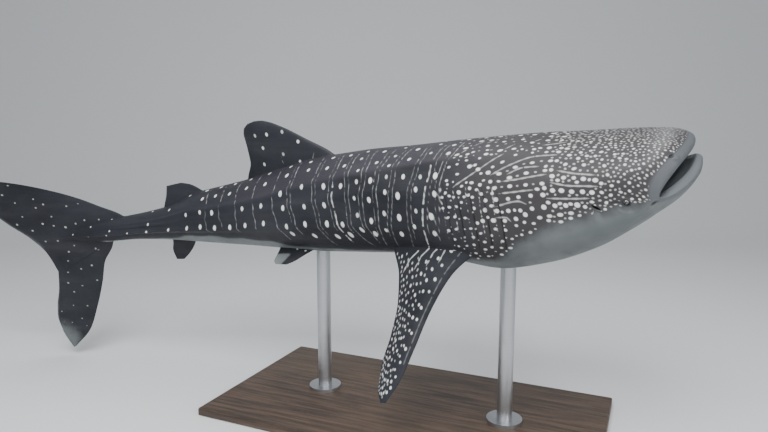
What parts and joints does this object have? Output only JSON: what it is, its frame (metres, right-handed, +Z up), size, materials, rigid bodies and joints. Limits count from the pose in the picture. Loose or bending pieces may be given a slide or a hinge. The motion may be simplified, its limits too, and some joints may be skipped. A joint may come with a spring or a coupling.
{
  "type": "whale shark model",
  "caption": "Life-size still model of a swimming whale shark, mouth ajar, one pectoral fin hanging, held over a flat display base by two upright rods.",
  "frame": {"origin": "centre of the underside of the stand's base, on the floor", "axes": "+X toward the shark's head, -Y the shark's right side, +Z up"},
  "size_m": [5.9255, 2.1477, 2.2473],
  "materials": {
    "skin": "satin",
    "pale_skin": "satin",
    "eye": "gloss",
    "base": "satin",
    "rod": "satin"
  },
  "bodies": {
    "root": {"head": "skin", "lower_jaw": "pale_skin", "eye_right": "eye", "eye_left": "eye", "gill_region": "skin", "trunk": "skin", "rear_trunk": "skin", "tail_stock": "skin", "caudal_fin_upper": "skin", "caudal_fin_lower": "skin", "first_dorsal_fin": "skin", "second_dorsal_fin": "skin", "anal_fin": "skin", "pectoral_fin_right": "skin", "pectoral_fin_left": "skin", "pelvic_fin_right": "skin", "pelvic_fin_left": "skin", "stand_base": "base", "stand_rod_front": "rod", "stand_rod_rear": "rod"}
  },
  "joints": []
}
